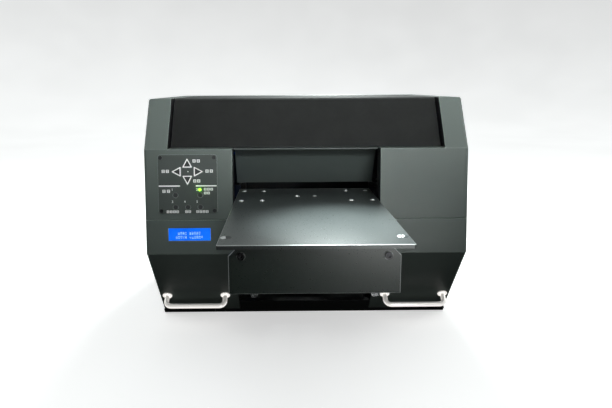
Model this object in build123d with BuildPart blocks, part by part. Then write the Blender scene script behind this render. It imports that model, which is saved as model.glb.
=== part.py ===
"""Desktop flatbed UV printer, modelled as separate pieces in millimetres.

+Z is up and -Y is the front. The origin is on the surface the printer stands on,
under the middle of its width and of its length with the bed drawn fully out.
"""
import os
from math import atan2, cos, pi, sin, tan

from build123d import *

os.makedirs("parts", exist_ok=True)

# ---------------------------------------------------------------- driving dimensions
half_width = 249.5          # half of the casing's 499 mm width
height = 380.0              # floor to the top of the casing
rear_y = 350.0              # back face
wall = 3.0                  # casing thickness
seam = 0.4                  # half of the gap along the casing split
split_z = 196.0             # horizontal split between upper and lower casing
casing_foot_z = 10.0        # where the lower casing stands on the base tray
foot_height = 1.0
tray_floor_top = 4.0
lip_top = 30.0              # upturned front edge of the base tray in the mouth

crease = (-112.65, 142.5)   # side outline of the casing, as (y, z) corners
shoulder = (-96.4, 304.0)
brow = (-48.2, height)
crown = (270.0, height)
nape = (rear_y, 300.0)
chin_run = 107.65 / 141.5   # how far the chin goes back for each mm it drops
chin_end = (crease[0] + (crease[1] - foot_height) * chin_run, foot_height)

mouth_half = 114.0          # half of the mouth between the two casing sides
strip_inner = 213.0         # inboard edge of the side strips along the top
ledge_depth = 18.0          # shelf behind the front face that the cover rests on
ledge_rear = -68.0

bed_half = 110.0
bed_front = -350.0
bed_rear = -15.0
bed_top = 227.0
bed_thickness = 5.0
bed_underside = bed_top - bed_thickness

rail_x = 71.0               # bed slide rails
rail_width = 8.4
rail_z = (154.0, 164.0)
rail_y = (-318.0, 44.0)
web_x = (79.0, 89.0)        # upright web of each bed side bar

frame_z = (126.0, 132.0)    # plate of the lift frame
post_x = 99.0
post_radius = 5.0
post_rows = (80.0, 260.0)
post_top = 157.0
screw_at = (-35.0, 170.0)   # lift screw
screw_radius = 6.0
running_fit = 0.06          # radial clearance of a sliding or turning fit

belt_pulley_radius = 8.0
belt_gap = 0.3
belt_thickness = 1.5
pulley_width = 8.4
bed_pulley_z = 146.0
bed_pulley_rows = (-45.0, 300.0)

rod_y, rod_z, rod_radius = 52.0, 282.0, 6.0
park_x = 150.0              # head carriage parked over the capping station
head_pulley_x = 185.0
head_pulley_z = 350.0
head_belt_y = (92.0, 98.0)

panel_x = -182.4            # control panel centre
panel_z = 251.2
panel_size = 91.0
panel_thickness = 2.0
key_cross_v = 19.4          # centre of the arrow keys above the panel centre
key_half = 7.8
key_height = 14.6
button_radius = 3.6
button_spots = ((-19, -16.7), (19, -16.7), (-19, -35.4), (0, -35.4), (19, -35.4))
key_gap = 0.35

display_x, display_z = -181.6, 173.4
display_size = (64.6, 19.2)

hinge_y, hinge_z = 181.0, 377.0
cover_half = 211.0
cover_rear = 177.4
rear_casing_front = 184.8   # front edge of the fixed top panel behind the cover

handle_x = 186.0
handle_pitch = 99.0
handle_rise = 22.0
handle_radius = 4.0
handle_z = 48.0

lean = atan2(shoulder[0] - crease[0], shoulder[1] - crease[1])
chin_angle = atan2(chin_run, 1.0)


# ---------------------------------------------------------------- helpers
def block(x, y, z, mode=Mode.ADD):
    """Add a box between the given low and high values on each axis."""
    middle = ((x[0] + x[1]) / 2, (y[0] + y[1]) / 2, (z[0] + z[1]) / 2)
    with Locations(middle):
        Box(x[1] - x[0], y[1] - y[0], z[1] - z[0], mode=mode)


def bar(start, direction, radius, length, mode=Mode.ADD):
    """Add a cylinder from start along direction."""
    with Locations(Plane(origin=start, z_dir=direction)):
        Cylinder(radius, length, align=(Align.CENTER, Align.CENTER, Align.MIN), mode=mode)


def slab(x0, x1, inset=0.0, mode=Mode.ADD):
    """Extrude the casing's side outline, moved inward by inset, from x0 to x1."""
    with BuildSketch(Plane.YZ.offset(x0)) as profile:
        with BuildLine():
            Polyline(crease, shoulder, brow, crown, nape, (rear_y, foot_height), chin_end, close=True)
            if inset:
                offset(amount=-inset, kind=Kind.INTERSECTION, mode=Mode.REPLACE)
        make_face()
    extrude(profile.sketch, amount=x1 - x0, mode=mode)


def face_plane(x, z, lift=0.0):
    """Plane on the leaning front face at (x, z), moved outward by lift."""
    y = crease[0] + (z - crease[1]) * tan(lean)
    normal = (0, -cos(lean), sin(lean))
    return Plane(origin=(x, y + normal[1] * lift, z + normal[2] * lift), x_dir=(1, 0, 0), z_dir=normal)


def chin_plane(x, z, lift=0.0):
    """Plane on the chin, facing down and forward."""
    y = crease[0] + (crease[1] - z) * chin_run
    normal = (0, -cos(chin_angle), -sin(chin_angle))
    return Plane(origin=(x, y + normal[1] * lift, z + normal[2] * lift), x_dir=(1, 0, 0), z_dir=normal)


def panel_point(u, v, lift=0.0):
    """Plane at a spot on the control panel, measured from its centre."""
    return face_plane(panel_x + u, panel_z + v * cos(lean), lift)


def save(builder, name):
    builder.part.label = name
    export_step(builder.part, f"parts/{name}.step")


# ---------------------------------------------------------------- base
with BuildPart() as tray_hollow:
    slab(-half_width + wall, half_width - wall, wall)
    block((-300, 300), (-200, 400), (tray_floor_top, casing_foot_z), Mode.INTERSECT)

lip_reach = mouth_half - 0.7
with BuildPart() as front_lip:
    slab(-lip_reach, lip_reach)
    slab(-mouth_half, mouth_half, wall, Mode.SUBTRACT)
    block((-150, 150), (-60, 15), (tray_floor_top, lip_top), Mode.INTERSECT)
    block((-lip_reach, lip_reach), (-25, -12), (lip_top - 2.5, lip_top))

with BuildPart() as base_tray:
    slab(-half_width, half_width)
    block((-300, 300), (-200, 400), (foot_height, casing_foot_z - 0.3), Mode.INTERSECT)
    add(tray_hollow.part, mode=Mode.SUBTRACT)
    add(front_lip.part)
save(base_tray, "base_tray")

with BuildPart() as rubber_feet:
    with Locations([(x, y, 0) for x in (-215, 215) for y in (28, 318)]):
        Cylinder(13, foot_height, align=(Align.CENTER, Align.CENTER, Align.MIN))
save(rubber_feet, "rubber_feet")


# ---------------------------------------------------------------- lower casing
def lower_side(with_display):
    """Left-hand lower casing: side wall, front, chin and the wall of the mouth."""
    with BuildPart() as side:
        slab(-half_width, -mouth_half)
        outer = side.edges().filter_by_position(Axis.X, -half_width - 0.1, -half_width + 0.1)
        fillet(outer, 5)
        slab(-half_width + wall, -mouth_half - wall, wall, Mode.SUBTRACT)
        slab(-mouth_half - wall - 1, -mouth_half + 1, 60, Mode.SUBTRACT)
        block((-mouth_half - wall - 1, -mouth_half + 1), (60, 400), (0, 400), Mode.SUBTRACT)
        block((-half_width + wall, 0), (rear_y - wall - 0.3, 400), (0, 400), Mode.SUBTRACT)
        block((-300, 0), (-200, 400), (casing_foot_z, split_z - seam), Mode.INTERSECT)
        if with_display:
            with BuildSketch(face_plane(display_x, display_z, -5)):
                Rectangle(display_size[0] + 0.6, display_size[1] + 0.6)
            extrude(amount=10, mode=Mode.SUBTRACT)
    return side


save(lower_side(True), "lower_casing_left")
plain_lower = lower_side(False)
with BuildPart() as lower_right:
    add(mirror(plain_lower.part, about=Plane.YZ))
save(lower_right, "lower_casing_right")


# ---------------------------------------------------------------- upper casing
with BuildPart() as front_hollow:
    slab(-strip_inner, -mouth_half - wall, wall)
    block((-300, 0), (-200, 0), (0, shoulder[1] - wall), Mode.INTERSECT)


def upper_side(with_panel):
    """Left-hand upper casing: side wall, top strip, front face, ledge and mouth wall."""
    inner = (-strip_inner, -mouth_half)
    with BuildPart() as side:
        slab(-half_width, -mouth_half)
        outer = side.edges().filter_by_position(Axis.X, -half_width - 0.1, -half_width + 0.1)
        fillet(outer, 5)
        slab(-half_width + wall, -strip_inner - wall, wall, Mode.SUBTRACT)
        slab(-strip_inner - wall - 1, -strip_inner, 30, Mode.SUBTRACT)
        block(inner, (ledge_rear, 400), (0, 400), Mode.SUBTRACT)
        block(inner, (-200, 400), (shoulder[1], 400), Mode.SUBTRACT)
        add(front_hollow.part, mode=Mode.SUBTRACT)
        block((-300, 0), (-200, 400), (split_z + seam, 400), Mode.INTERSECT)
        if with_panel:
            with BuildSketch(face_plane(panel_x, panel_z, -wall - 2)):
                Rectangle(panel_size - 6, panel_size - 25)
                Rectangle(panel_size - 25, panel_size - 6)
            extrude(amount=wall + 4, mode=Mode.SUBTRACT)
    return side


save(upper_side(True), "upper_casing_left")
plain_upper = upper_side(False)
with BuildPart() as upper_right:
    add(mirror(plain_upper.part, about=Plane.YZ))
save(upper_right, "upper_casing_right")

with BuildPart() as rear_top_casing:
    slab(-strip_inner + 0.4, strip_inner - 0.4)
    slab(-strip_inner, strip_inner, wall, Mode.SUBTRACT)
    block((-300, 300), (rear_casing_front, 400), (split_z + seam, 400), Mode.INTERSECT)
    block((-strip_inner + 0.4, strip_inner - 0.4), (rear_casing_front, rear_casing_front + 2.5),
          (352, height - wall + 0.5))
    slope_mid = Plane(origin=(0, (crown[0] + nape[0]) / 2, (crown[1] + nape[1]) / 2), x_dir=(1, 0, 0),
                      z_dir=(0, 1, 1))
    with BuildSketch(slope_mid.offset(-8)):
        with GridLocations(24, 0, 15, 1):
            SlotOverall(60, 5, rotation=90)
    extrude(amount=16, mode=Mode.SUBTRACT)
save(rear_top_casing, "rear_top_casing")

fan_x, fan_z, fan_half = 165.0, 118.0, 40.0
inlet_x, inlet_z = -176.0, 50.0
with BuildPart() as rear_panel:
    block((-half_width + wall + 0.3, half_width - wall - 0.3), (rear_y - wall, rear_y),
          (casing_foot_z, split_z - seam))
    with BuildSketch(Plane.XZ.offset(-rear_y - 1)):
        with Locations((fan_x, fan_z)):
            with PolarLocations(27, 12):
                SlotOverall(18, 4.5)
            Circle(6)
        with Locations((inlet_x, inlet_z)):
            Rectangle(76.6, 30.6)
        with Locations((-176, 118)):
            with GridLocations(12, 0, 8, 1):
                SlotOverall(40, 4, rotation=90)
    extrude(amount=wall + 2, mode=Mode.SUBTRACT)
save(rear_panel, "rear_panel")

# ---------------------------------------------------------------- mouth panel
panel_top, panel_foot = (-58.0, 303.0), (-20.0, 240.0)
panel_reach = mouth_half - 0.7
with BuildPart() as mouth_panel:
    with BuildSketch(Plane.YZ.offset(-panel_reach)):
        with BuildLine():
            Polyline((-77, 302), panel_top, panel_foot, (-6, 238))
        trace(line_width=2)
    extrude(amount=2 * panel_reach)
save(mouth_panel, "mouth_panel")


# ---------------------------------------------------------------- control panel
def key_sketch(angle, near, grow=0.0):
    """Rounded triangle pointing away from the cross centre, in the panel's plane."""
    with Locations(Location((0, 0, 0), (0, 0, 1), angle)):
        with BuildLine(mode=Mode.PRIVATE) as sides:
            Polyline((-key_half, near), (key_half, near), (0, near + key_height), close=True)
        triangle = make_face(sides.line, mode=Mode.PRIVATE)
        rounded = offset(triangle, amount=grow - 0.8, kind=Kind.INTERSECTION, mode=Mode.PRIVATE)
        add(offset(rounded, amount=0.8, mode=Mode.PRIVATE))


arrow_keys = {"key_up": (0, 6.2), "key_left": (90, 10.0), "key_down": (180, 6.2), "key_right": (270, 10.0)}

with BuildPart() as control_plate:
    with BuildSketch(face_plane(panel_x, panel_z, 0.05)):
        RectangleRounded(panel_size, panel_size, 4.5)
        with Locations(*[(u, v) for u, v in button_spots]):
            Circle(button_radius + key_gap, mode=Mode.SUBTRACT)
        with Locations((18.4, -8.4)):
            Circle(2.2, mode=Mode.SUBTRACT)
        with GridLocations(81.6, 81.6, 2, 2):
            Circle(1.7, mode=Mode.SUBTRACT)
    extrude(amount=panel_thickness)
    for angle, near in arrow_keys.values():
        with BuildSketch(panel_point(0, key_cross_v, -2)):
            key_sketch(angle, near, key_gap)
        extrude(amount=6, mode=Mode.SUBTRACT)
save(control_plate, "control_plate")

with BuildPart() as panel_screws:
    with BuildSketch(face_plane(panel_x, panel_z, panel_thickness + 0.05)):
        with GridLocations(81.6, 81.6, 2, 2):
            Circle(2.9)
    extrude(amount=1.4)
    fillet(panel_screws.edges().group_by(Axis.Y)[0], 0.4)
    with BuildSketch(face_plane(panel_x, panel_z, panel_thickness + 0.05)):
        with GridLocations(81.6, 81.6, 2, 2):
            Circle(1.5)
    extrude(amount=-1.9)
save(panel_screws, "panel_screws")

with BuildPart() as status_led:
    with BuildSketch(panel_point(18.4, -8.4, -1.5)):
        Circle(2.1)
    extrude(amount=4.2)
    fillet(status_led.edges().sort_by(Axis.Y)[0], 1.2)
save(status_led, "status_led")

for name, (angle, near) in arrow_keys.items():
    with BuildPart() as key:
        with BuildSketch(panel_point(0, key_cross_v, -4)):
            key_sketch(angle, near)
        extrude(amount=4 + panel_thickness + 1.4)
        with BuildSketch(panel_point(0, key_cross_v, -1.8)):
            key_sketch(angle, near, 0.9)
        extrude(amount=1.5)
    save(key, name)

for number, (u, v) in enumerate(button_spots, start=1):
    with BuildPart() as button:
        with BuildSketch(panel_point(u, v, -4)):
            Circle(button_radius)
        extrude(amount=4 + panel_thickness + 1.6)
        fillet(button.edges().sort_by(Axis.Y)[0], 0.5)
        with BuildSketch(panel_point(u, v, -1.8)):
            Circle(button_radius + 1.2)
        extrude(amount=1.5)
    save(button, f"button_{number}")

with BuildPart() as display_module:
    with BuildSketch(face_plane(display_x, display_z, -9)):
        Rectangle(80, 30)
    extrude(amount=9 - wall - 0.1)
    with BuildSketch(face_plane(display_x, display_z, -wall - 0.2)):
        Rectangle(*display_size)
    extrude(amount=wall - 0.4)
save(display_module, "display_module")


# ---------------------------------------------------------------- carrying handles
def handle(side):
    """Chrome U-handle standing square to the chin."""
    origin = chin_plane(side * handle_x, handle_z).origin
    outward = (0, -cos(chin_angle), -sin(chin_angle))
    loop_plane = Plane(origin=origin, x_dir=(1, 0, 0), z_dir=(0, sin(chin_angle), -cos(chin_angle)))
    reach = handle_pitch / 2
    with BuildPart() as loop:
        with BuildLine(loop_plane) as path:
            FilletPolyline((-reach, 0.1), (-reach, handle_rise), (reach, handle_rise), (reach, 0.1), radius=9)
        with BuildSketch(Plane(origin=path.line @ 0, z_dir=outward)):
            Circle(handle_radius)
        sweep(path=path.line)
    return loop


save(handle(-1), "handle_left")
save(handle(1), "handle_right")

with BuildPart() as handle_washers:
    for side in (-1, 1):
        for end in (-1, 1):
            with BuildSketch(chin_plane(side * handle_x + end * handle_pitch / 2, handle_z, 0.05)):
                Circle(8)
                Circle(handle_radius + 0.05, mode=Mode.SUBTRACT)
            extrude(amount=2.6)
    fillet(handle_washers.edges().filter_by(GeomType.CIRCLE).group_by(SortBy.RADIUS)[-1], 0.8)
save(handle_washers, "handle_washers")

# ---------------------------------------------------------------- head gantry
plate_x = (222.0, 225.0)
beam_y, beam_z = (102.0, 114.0), (296.0, 326.0)
with BuildPart() as gantry_frame:
    for low, high in ((-plate_x[1], -plate_x[0]), plate_x):
        block((low, high), (22, 130), (tray_floor_top, 336))
    block((-plate_x[0], plate_x[0]), beam_y, beam_z)
    block((head_pulley_x - 8, head_pulley_x + 8), (102, 106), (326, 360))
    bar((head_pulley_x, 89, head_pulley_z), (0, 1, 0), 2.5, 14)
    bar((-230, rod_y, rod_z), (1, 0, 0), rod_radius, 460, Mode.SUBTRACT)
save(gantry_frame, "gantry_frame")

with BuildPart() as head_guide_rod:
    bar((-plate_x[1], rod_y, rod_z), (1, 0, 0), rod_radius, 2 * plate_x[1])
save(head_guide_rod, "head_guide_rod")


def belt_loop(plane, half_span, belt_width):
    """Flat belt round two equal pulleys, centred on plane."""
    inner = belt_pulley_radius + belt_gap
    with BuildSketch(plane) as loop:
        SlotCenterToCenter(2 * half_span, 2 * (inner + belt_thickness))
        SlotCenterToCenter(2 * half_span, 2 * inner, mode=Mode.SUBTRACT)
    extrude(loop.sketch, amount=belt_width / 2, both=True)


with BuildPart() as head_belt:
    belt_mid = sum(head_belt_y) / 2
    belt_loop(Plane(origin=(0, belt_mid, head_pulley_z), x_dir=(1, 0, 0), z_dir=(0, 1, 0)), head_pulley_x, 6)
save(head_belt, "head_belt")

with BuildPart() as head_motor:
    motor_x = (-head_pulley_x - 21, -head_pulley_x + 21)
    block(motor_x, (104, 144), (head_pulley_z - 21, head_pulley_z + 21))
    chamfer(head_motor.edges().filter_by(Axis.Y), 3)
    block((-head_pulley_x - 12, -head_pulley_x + 12), (104, 114), (326, head_pulley_z - 20))
    bar((-head_pulley_x, 103, head_pulley_z), (0, 1, 0), 2.5 + running_fit, 14, Mode.SUBTRACT)
save(head_motor, "head_motor")


def pulley(start, direction, shaft_after, name):
    """Belt pulley with its motor shaft or, with no shaft, a bore for a fixed axle."""
    with BuildPart() as wheel:
        bar(start, direction, belt_pulley_radius, pulley_width)
        bar(start, direction, belt_pulley_radius + 2.5, 0.8)
        if shaft_after:
            bar(start, direction, 2.5, pulley_width + shaft_after)
        else:
            bar(start, direction, 2.5 + running_fit, pulley_width, Mode.SUBTRACT)
    save(wheel, name)


pulley((-head_pulley_x, 90.8, head_pulley_z), (0, 1, 0), 16, "head_drive_pulley")
pulley((head_pulley_x, 90.8, head_pulley_z), (0, 1, 0), 0, "head_idler_pulley")

# ---------------------------------------------------------------- head carriage
carriage_x = (park_x - 35, park_x + 35)
carriage_y = (12.0, 88.0)
carriage_z = (240.0, 322.0)
head_bottom = 231.5
with BuildPart() as head_carriage:
    block(carriage_x, carriage_y, carriage_z)
    fillet(head_carriage.edges().filter_by(Axis.Z), 4)
    block((carriage_x[0] + 4, carriage_x[1] - 4), (16, 40), (262, 330), Mode.SUBTRACT)
    bar((carriage_x[0] - 1, rod_y, rod_z), (1, 0, 0), rod_radius + running_fit, 72, Mode.SUBTRACT)
    block((park_x - 14, park_x + 14), (80, 118), (326.6, 331))
    block((park_x - 14, park_x + 14), (80, 88), (318, 331))
    block((park_x - 9, park_x + 9), (89, 101), (331, 339.6))
save(head_carriage, "head_carriage")

with BuildPart() as print_head:
    block((park_x - 24, park_x + 24), (18, 66), (head_bottom + 3, carriage_z[0]))
    block((park_x - 18, park_x + 18), (24, 60), (head_bottom, carriage_z[0]))
save(print_head, "print_head")

with BuildPart() as uv_lamp:
    lamp_x = (carriage_x[0] - 40, carriage_x[0])
    block(lamp_x, (20, 64), (236, 300))
    chamfer(uv_lamp.edges().filter_by(Axis.Z), 2)
    for rib in range(6):
        rib_x = lamp_x[0] + 4 + 6 * rib
        block((rib_x, rib_x + 3), (20, 64), (270, 300), Mode.SUBTRACT)
    bar((lamp_x[0] - 1, rod_y, rod_z), (1, 0, 0), rod_radius + 1.0, 42, Mode.SUBTRACT)
    block((lamp_x[0] + 8, lamp_x[1] - 8), (28, 56), (head_bottom + 1.5, 236))
save(uv_lamp, "uv_lamp")

with BuildPart() as capping_station:
    block((122, 178), (14, 70), (200, 224))
    chamfer(capping_station.edges().filter_by(Axis.Z), 3)
    block((park_x - 20, park_x + 20), (22, 62), (224, 229))
    block((park_x - 16, park_x + 16), (26, 58), (222, 229), Mode.SUBTRACT)
    block((132, 168), (24, 60), (tray_floor_top, 200))
    block((136, 164), (20, 70), (tray_floor_top, 190), Mode.SUBTRACT)
save(capping_station, "capping_station")

# ---------------------------------------------------------------- ink, board and power
rack_x, rack_y, rack_top = (-204.0, -122.0), (160.0, 316.0), 180.0
with BuildPart() as ink_rack:
    block(rack_x, rack_y, (tray_floor_top, rack_top))
    block((rack_x[0] + 3, rack_x[1] - 3), (rack_y[0] - 1, rack_y[1] + 1), (0, rack_top - 3), Mode.SUBTRACT)
    block(rack_x, rack_y, (rack_top, rack_top + 22))
    block((rack_x[0] + 3, rack_x[1] - 3), (rack_y[0] + 3, rack_y[1] - 3), (rack_top, rack_top + 30), Mode.SUBTRACT)
save(ink_rack, "ink_rack")

with BuildPart() as ink_bottles:
    rack_middle = ((rack_x[0] + rack_x[1]) / 2, (rack_y[0] + rack_y[1]) / 2)
    with Locations([(rack_middle[0] + dx, rack_middle[1] + dy, rack_top + 0.2) for dx in (-19, 19)
                    for dy in (-48, 0, 48)]):
        Cylinder(17, 84, align=(Align.CENTER, Align.CENTER, Align.MIN))
    fillet(ink_bottles.edges().filter_by(GeomType.CIRCLE).group_by(Axis.Z)[-1], 5)
    with Locations([(rack_middle[0] + dx, rack_middle[1] + dy, rack_top + 84) for dx in (-19, 19)
                    for dy in (-48, 0, 48)]):
        Cylinder(9, 16, align=(Align.CENTER, Align.CENTER, Align.MIN))
save(ink_bottles, "ink_bottles")

with BuildPart() as main_board:
    block((-214, -124), (0, 130), (14, 15.6))
    with Locations((-169, 65, 0)):
        with GridLocations(80, 120, 2, 2):
            with Locations((0, 0, tray_floor_top)):
                Cylinder(3, 14.2 - tray_floor_top, align=(Align.CENTER, Align.CENTER, Align.MIN))
    block((-180, -156), (40, 64), (15.4, 19))
    for row in range(4):
        block((-210, -198), (12 + 28 * row, 32 + 28 * row), (15.4, 26))
    block((-146, -128), (20, 60), (15.4, 34))
save(main_board, "main_board")

with BuildPart() as power_supply:
    block((122, 214), (150, 310), (tray_floor_top, 50))
    with BuildSketch(Plane.XY.offset(48)):
        with Locations((168, 230)):
            with GridLocations(10, 24, 7, 5):
                Circle(3)
    extrude(amount=4, mode=Mode.SUBTRACT)
save(power_supply, "power_supply")

rocker_y, rocker_pin = 340.5, 1.2
with BuildPart() as inlet_module:
    block((inlet_x - 38, inlet_x + 38), (318, rear_y), (inlet_z - 15, inlet_z + 15))
    block((inlet_x - 34, inlet_x - 6), (332, rear_y + 1), (inlet_z - 10, inlet_z + 10), Mode.SUBTRACT)
    for pin_x in (-28, -20, -12):
        block((inlet_x + pin_x - 1, inlet_x + pin_x + 1), (330, 346), (inlet_z - 3, inlet_z + 3))
    block((inlet_x, inlet_x + 18), (334, rear_y + 1), (inlet_z - 12, inlet_z + 12), Mode.SUBTRACT)
    block((inlet_x + 23, inlet_x + 35), (338, rear_y + 1), (inlet_z - 5.5, inlet_z + 5.5), Mode.SUBTRACT)
    block((inlet_x + 26, inlet_x + 32), (336, 346), (inlet_z - 2, inlet_z + 2))
    bar((inlet_x - 3, rocker_y, inlet_z), (1, 0, 0), rocker_pin + running_fit, 24, Mode.SUBTRACT)
save(inlet_module, "inlet_module")

rocker_tilt = 9 * pi / 180
rocker_plane = Plane(origin=(inlet_x + 1, rocker_y, inlet_z), x_dir=(0, cos(rocker_tilt), sin(rocker_tilt)),
                     z_dir=(1, 0, 0))
with BuildPart() as power_rocker:
    with BuildSketch(rocker_plane):
        with BuildLine():
            Polyline((-4, 0), (3, -9.5), (7, -9.5), (4.5, 0), (7, 9.5), (3, 9.5), close=True)
        make_face()
    extrude(amount=16)
    bar((inlet_x - 2, rocker_y, inlet_z), (1, 0, 0), rocker_pin, 22)
save(power_rocker, "power_rocker")

# ---------------------------------------------------------------- cooling fan
fan_back = rear_y - wall - 0.1
with BuildPart() as fan_frame:
    block((fan_x - fan_half, fan_x + fan_half), (fan_back - 25, fan_back), (fan_z - fan_half, fan_z + fan_half))
    bar((fan_x, fan_back - 26, fan_z), (0, 1, 0), 37.5, 27, Mode.SUBTRACT)
    block((fan_x - 39, fan_x + 39), (fan_back - 3, fan_back), (fan_z - 2.5, fan_z + 2.5))
    block((fan_x - 2.5, fan_x + 2.5), (fan_back - 3, fan_back), (fan_z - 39, fan_z + 39))
    bar((fan_x, fan_back - 3, fan_z), (0, 1, 0), 17, 3)
    bar((fan_x, fan_back - 18, fan_z), (0, 1, 0), 2, 16)
save(fan_frame, "fan_frame")

with BuildPart() as fan_rotor:
    bar((fan_x, fan_back - 23, fan_z), (0, 1, 0), 16, 18)
    bar((fan_x, fan_back - 18.5, fan_z), (0, 1, 0), 2 + running_fit, 20, Mode.SUBTRACT)
    for blade in range(7):
        turn = Location((fan_x, fan_back - 13, fan_z), (0, 1, 0), blade * 360 / 7)
        with Locations(turn * Location((25, 0, 0), (1, 0, 0), 40)):
            Box(22, 1.6, 16)
save(fan_rotor, "fan_rotor")

# ---------------------------------------------------------------- top cover and hinges
knuckle = 3.0
pin_radius = 1.5
hinge_spots = (-130.0, 130.0)
flange_depth = 16.0
cover_foot = (shoulder[0] + ledge_depth, shoulder[1] + 0.6)
cover_brow = (brow[0] + ledge_depth, height)

with BuildPart() as top_cover:
    with BuildSketch(Plane.YZ.offset(-cover_half)):
        with BuildLine():
            Polyline(cover_foot, cover_brow, (cover_rear, height), (cover_rear, height - flange_depth),
                     (cover_brow[0] + 10, height - flange_depth), (cover_foot[0] + 16, cover_foot[1]), close=True)
        make_face()
    extrude(amount=2 * cover_half)
    fillet(top_cover.edges().filter_by(Axis.X).filter_by_position(Axis.Z, height - 0.1, height + 0.1)
           .sort_by(Axis.Y)[0], 14)
    with BuildSketch(Plane.YZ.offset(-cover_half + wall)):
        with BuildLine():
            Polyline((cover_foot[0] + 3.6, cover_foot[1] - 1), (cover_brow[0] + 9, height - wall),
                     (cover_rear + 1, height - wall), (cover_rear + 1, 0), (cover_foot[0] + 3.6, 0), close=True)
        make_face()
    extrude(amount=2 * (cover_half - wall), mode=Mode.SUBTRACT)
    for spot in hinge_spots:
        bar((spot - 7, hinge_y, hinge_z), (1, 0, 0), knuckle, 14)
        block((spot - 7, spot + 7), (cover_rear - 2, hinge_y), (hinge_z, height))
        bar((spot - 8, hinge_y, hinge_z), (1, 0, 0), pin_radius + running_fit, 16, Mode.SUBTRACT)
save(top_cover, "top_cover")

with BuildPart() as cover_hinges:
    for spot in hinge_spots:
        for low, high in ((spot - 17, spot - 7.4), (spot + 7.4, spot + 17)):
            bar((low, hinge_y, hinge_z), (1, 0, 0), knuckle, high - low)
            block((low, high), (hinge_y, rear_casing_front), (hinge_z - 3, hinge_z))
            block((low, high), (rear_casing_front - 2, rear_casing_front), (hinge_z - 16, hinge_z))
        bar((spot - 17, hinge_y, hinge_z), (1, 0, 0), pin_radius, 34)
save(cover_hinges, "cover_hinges")

# ---------------------------------------------------------------- lift
with BuildPart() as lift_posts:
    with Locations([(x, y, tray_floor_top) for x in (-post_x, post_x) for y in post_rows]):
        Cylinder(post_radius, post_top - tray_floor_top, align=(Align.CENTER, Align.CENTER, Align.MIN))
        Cylinder(9, 5, align=(Align.CENTER, Align.CENTER, Align.MIN))
save(lift_posts, "lift_posts")

lift_motor_top = 46.0
with BuildPart() as lift_motor:
    block((screw_at[0] - 21, screw_at[0] + 21), (screw_at[1] - 21, screw_at[1] + 21),
          (tray_floor_top, lift_motor_top))
    chamfer(lift_motor.edges().filter_by(Axis.Z), 3)
    bar((*screw_at, lift_motor_top + 1), (0, 0, -1), 3 + running_fit, 16, Mode.SUBTRACT)
save(lift_motor, "lift_motor")

with BuildPart() as lift_screw:
    bar((*screw_at, lift_motor_top - 12), (0, 0, 1), 3, 20)
    bar((*screw_at, lift_motor_top + 1), (0, 0, 1), screw_radius, 122 - lift_motor_top - 1)
    chamfer(lift_screw.edges().sort_by(Axis.Z)[-1], 1)
save(lift_screw, "lift_screw")

with BuildPart() as lift_frame:
    block((-108, 108), (-55, 316), frame_z)
    block((60, 109), (96, 244), (0, 200), Mode.SUBTRACT)
    block((-109, -60), (96, 244), (0, 200), Mode.SUBTRACT)
    block((-40, 40), (190, 268), (0, 200), Mode.SUBTRACT)
    block((-40, 40), (-20, 140), (0, 200), Mode.SUBTRACT)
    for x in (-post_x, post_x):
        for y in post_rows:
            bar((x, y, 100), (0, 0, 1), 9, 40)
    bar((*screw_at, 108), (0, 0, 1), 12, frame_z[0] - 108)
    bar((*screw_at, 100), (0, 0, 1), screw_radius + running_fit, 40, Mode.SUBTRACT)
    for x in (-post_x, post_x):
        for y in post_rows:
            bar((x, y, 90), (0, 0, 1), post_radius + running_fit, 60, Mode.SUBTRACT)
    for low, high in ((-11, -7.5), (7.5, 11)):
        block((low, high), (bed_pulley_rows[0] - 7, bed_pulley_rows[0] + 7),
              (frame_z[1], bed_pulley_z + 7))
    bar((-11, bed_pulley_rows[0], bed_pulley_z), (1, 0, 0), 2.5, 22)
save(lift_frame, "lift_frame")

with BuildPart() as bearing_blocks:
    for side in (-rail_x, rail_x):
        for low, high in ((-16, 10), (16, 42)):
            block((side - 14, side + 14), (low, high), (frame_z[1], rail_z[0] + 6))
            block((side - rail_width / 2 - 0.4, side + rail_width / 2 + 0.4), (low - 1, high + 1),
                  (rail_z[0] - 0.4, rail_z[1]), Mode.SUBTRACT)
save(bearing_blocks, "bearing_blocks")

with BuildPart() as bed_belt:
    bed_belt_mid = sum(bed_pulley_rows) / 2
    bed_belt_reach = (bed_pulley_rows[1] - bed_pulley_rows[0]) / 2
    belt_loop(Plane(origin=(0, bed_belt_mid, bed_pulley_z), x_dir=(0, 1, 0), z_dir=(1, 0, 0)), bed_belt_reach, 6)
save(bed_belt, "bed_belt")

with BuildPart() as bed_motor:
    block((12, 50), (bed_pulley_rows[1] - 18, bed_pulley_rows[1] + 14), (frame_z[1], bed_pulley_z + 18))
    chamfer(bed_motor.edges().filter_by(Axis.X), 3)
    bar((11, bed_pulley_rows[1], bed_pulley_z), (1, 0, 0), 2.5 + running_fit, 14, Mode.SUBTRACT)
save(bed_motor, "bed_motor")

pulley((-4.2, bed_pulley_rows[1], bed_pulley_z), (1, 0, 0), 18, "bed_drive_pulley")
pulley((-4.2, bed_pulley_rows[0], bed_pulley_z), (1, 0, 0), 0, "bed_idler_pulley")

# ---------------------------------------------------------------- print bed
small_spots = [(x, y) for x in (-100, -68, 68, 100) for y in (-38, -114)]
small_spots += [(x, -80.5) for x in (-14, 14)]
corner_spots = [(x, -318) for x in (-102, 102)]
small_head, small_shank, small_dome = 3.6, 1.9, 1.1
corner_sink = 6.95          # radius of the countersinks at the front corners
corner_head, corner_shank = 4.4, 3.2
corner_drop = 2.4           # how far the corner screws lie below the bed's face
sink_clearance = 0.1

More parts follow.
